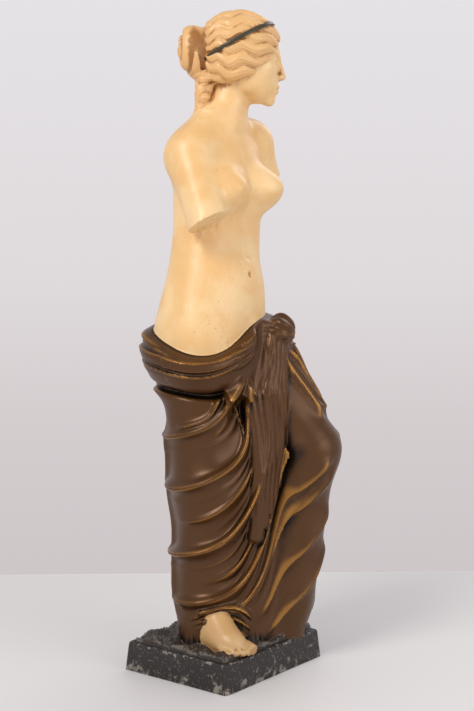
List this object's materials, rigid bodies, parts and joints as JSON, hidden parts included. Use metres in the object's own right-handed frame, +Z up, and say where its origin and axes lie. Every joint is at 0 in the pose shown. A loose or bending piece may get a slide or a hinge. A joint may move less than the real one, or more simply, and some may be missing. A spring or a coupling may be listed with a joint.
{
  "type": "statuette",
  "caption": "Painted plaster statuette of a half-draped classical goddess with broken-off arms, standing on a low dark plinth as a shelf ornament.",
  "frame": {"origin": "centre of the plinth's underside", "axes": "+Z up along the standing figure, -Y out of the plinth's front, which the figure's bare foot and bent knee face, +X to the figure's left"},
  "size_m": [0.1785, 0.1684, 0.6466],
  "materials": {
    "painted_plaster": "cast plaster with a varnished paint: ivory flesh and hair, bronze-brown drapery rubbed to gold on the folds, black plinth worn at its edges"
  },
  "bodies": {
    "root": {"statue": "painted_plaster"}
  },
  "joints": []
}
